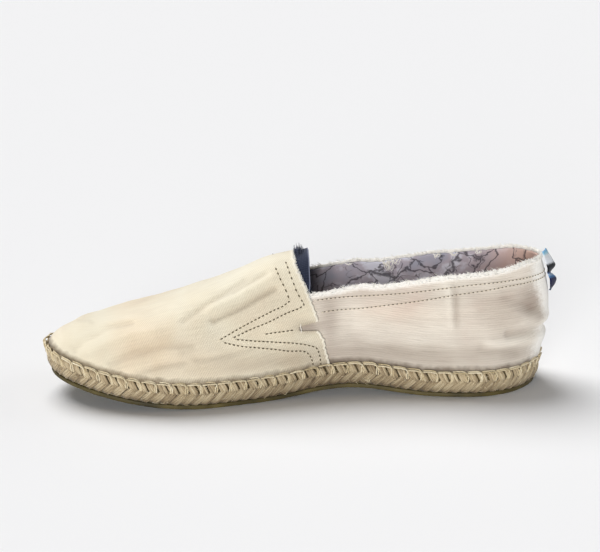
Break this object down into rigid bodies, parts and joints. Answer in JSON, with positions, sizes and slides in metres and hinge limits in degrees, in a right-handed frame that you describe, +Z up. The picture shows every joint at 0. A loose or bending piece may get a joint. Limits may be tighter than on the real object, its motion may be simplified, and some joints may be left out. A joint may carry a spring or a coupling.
{
  "type": "espadrille",
  "caption": "Low slip-on canvas shoe for the right foot, with an open collar, a stitched vamp, a ribbon pull loop and a braided jute sole on a thin rubber outsole.",
  "frame": {"origin": "middle of the part's box in plan, on the floor that the sole stands on", "axes": "+Z up, +X from the toe to the heel along the sole, -Y towards the big toe's side"},
  "size_m": [0.264, 0.0896, 0.0699],
  "materials": {
    "outsole_rubber": "moulded, matt",
    "jute_braid": "braided jute, dry and fibrous",
    "insole_cloth": "woven cotton",
    "canvas": "cotton twill, raw edges",
    "ribbon": "satin ribbon"
  },
  "bodies": {
    "root": {"outsole": "outsole_rubber", "jute_sole": "jute_braid", "insole": "insole_cloth", "upper": "canvas", "pull_loop": "ribbon"}
  },
  "joints": []
}
